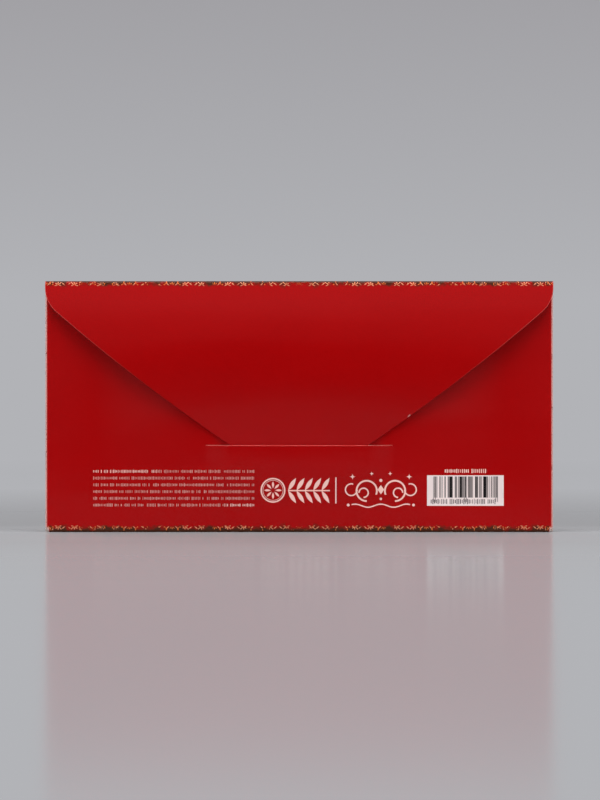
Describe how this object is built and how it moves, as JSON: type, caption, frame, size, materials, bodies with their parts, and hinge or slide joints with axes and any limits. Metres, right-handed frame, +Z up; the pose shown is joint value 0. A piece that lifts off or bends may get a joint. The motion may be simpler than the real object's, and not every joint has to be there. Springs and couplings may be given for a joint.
{
  "type": "money envelope",
  "caption": "Flat landscape money envelope of glossy printed card, glued at its sides, with a long tapered flap that tucks into a slit in the back panel.",
  "frame": {"origin": "centre of the box round the closed envelope, at its lowest face, the bottom fold it stands on", "axes": "+X along the long side, to the right as seen from the flap side; -Y out of the flap side; +Z up, from the bottom fold to the top fold"},
  "size_m": [0.165, 0.0042, 0.0815],
  "materials": {
    "printed_card": "gloss",
    "bare_card": "matte",
    "dried_glue": "satin"
  },
  "bodies": {
    "pocket": {"front_panel": "printed_card", "bottom_fold": "printed_card", "back_panel": "printed_card", "left_fold": "printed_card", "right_fold": "printed_card", "left_glue_tab": "bare_card", "right_glue_tab": "bare_card", "left_glue_line": "dried_glue", "right_glue_line": "dried_glue", "top_fold": "printed_card"},
    "flap": {"closing_flap": "printed_card", "flap_tongue": "printed_card"}
  },
  "joints": [
    {"name": "flap_hinge", "type": "hinge", "parent": "pocket", "child": "flap", "pos_m": [0, 0.00094, 0.08046], "axis": [-1, 0, 0], "range_deg": [0, 170], "deforming": ["top_fold", "flap_tongue"]}
  ]
}
